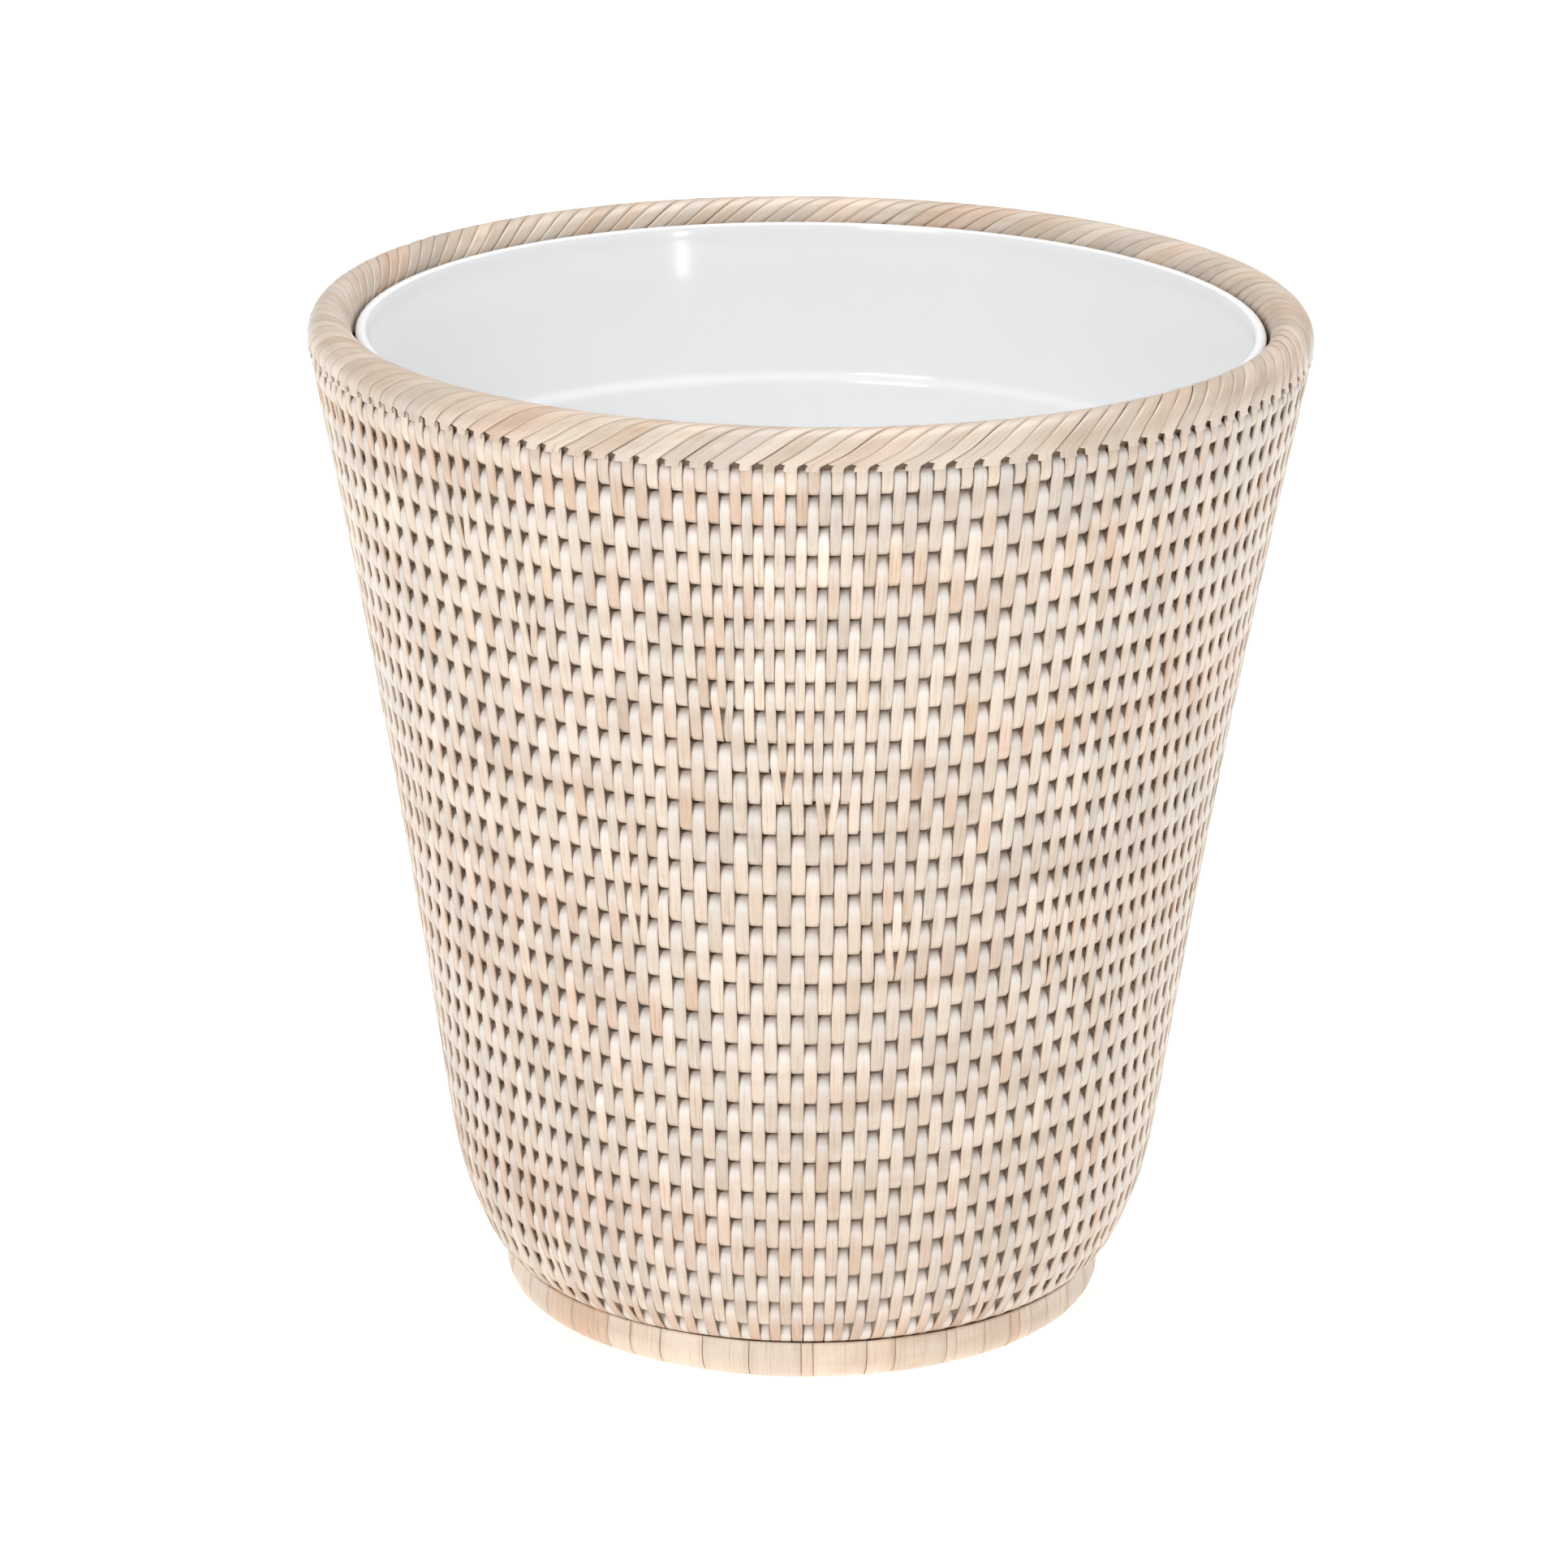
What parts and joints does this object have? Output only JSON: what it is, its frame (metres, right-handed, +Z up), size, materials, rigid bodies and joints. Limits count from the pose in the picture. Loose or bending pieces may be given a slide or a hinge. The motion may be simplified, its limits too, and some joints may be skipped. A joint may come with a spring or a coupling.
{
  "type": "wastebasket",
  "caption": "Round flaring coil-woven rattan wastebasket with wrapped rim and foot and a lift-out glossy plastic liner.",
  "frame": {"origin": "on the floor under the centre of the basket, in the plane that the foot stands on", "axes": "+Z up along the basket's axis, which is also the way that the liner lifts out; X and Y are alike on a round basket, and -Y faces the front of the reference view"},
  "size_m": [0.28, 0.28, 0.2897],
  "materials": {
    "rattan_strips": "whitewashed flat rattan strips, satin",
    "rattan_core": "peeled rattan rod, matte",
    "rattan_binding": "whitewashed rattan binding, satin",
    "liner_plastic": "smooth glossy white"
  },
  "bodies": {
    "basket": {"base_core": "rattan_core", "wall_core_01": "rattan_core", "wall_core_02": "rattan_core", "wall_core_03": "rattan_core", "wall_core_04": "rattan_core", "wall_core_05": "rattan_core", "wall_core_06": "rattan_core", "wall_core_07": "rattan_core", "wall_core_08": "rattan_core", "wall_core_09": "rattan_core", "wall_core_10": "rattan_core", "rim_core": "rattan_core", "foot_core": "rattan_core", "wall_weave_outer": "rattan_strips", "wall_weave_inner": "rattan_strips", "base_weave_bottom": "rattan_strips", "base_weave_top": "rattan_strips", "rim_wrap": "rattan_binding", "foot_wrap": "rattan_binding"},
    "liner": {"liner": "liner_plastic"}
  },
  "joints": [
    {"name": "liner_lift", "type": "slide", "parent": "basket", "child": "liner", "axis": [0, 0, 1], "range_m": [0, 0.28]}
  ]
}
